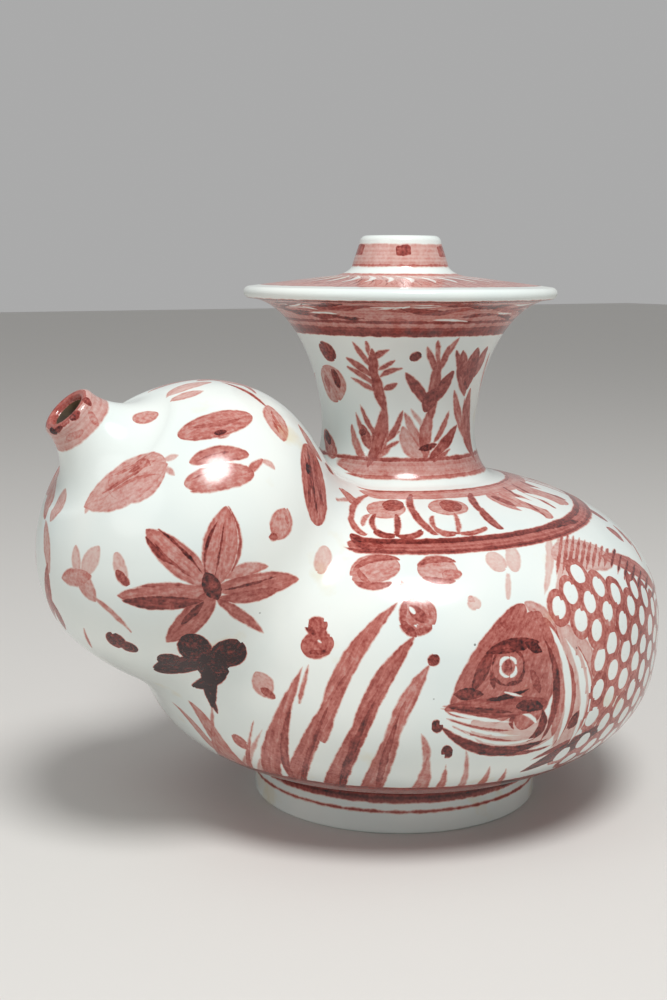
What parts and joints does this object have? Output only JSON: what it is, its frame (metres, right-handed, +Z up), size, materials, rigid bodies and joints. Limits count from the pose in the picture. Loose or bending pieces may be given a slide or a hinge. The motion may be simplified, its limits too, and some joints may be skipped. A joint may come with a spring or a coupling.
{
  "type": "kendi",
  "caption": "Round hollow glazed vessel on a foot ring, with a waisted neck, wide flange and collar, and a leaning bulb-shaped spout with a nozzle.",
  "frame": {"origin": "on the ground, at the middle of the bounding box's base", "axes": "+Z up, +X towards the spout"},
  "size_m": [0.192, 0.1584, 0.169],
  "materials": {
    "glazed_porcelain": "glossy glaze over underglaze red painting"
  },
  "bodies": {
    "root": {"kendi": "glazed_porcelain"}
  },
  "joints": []
}
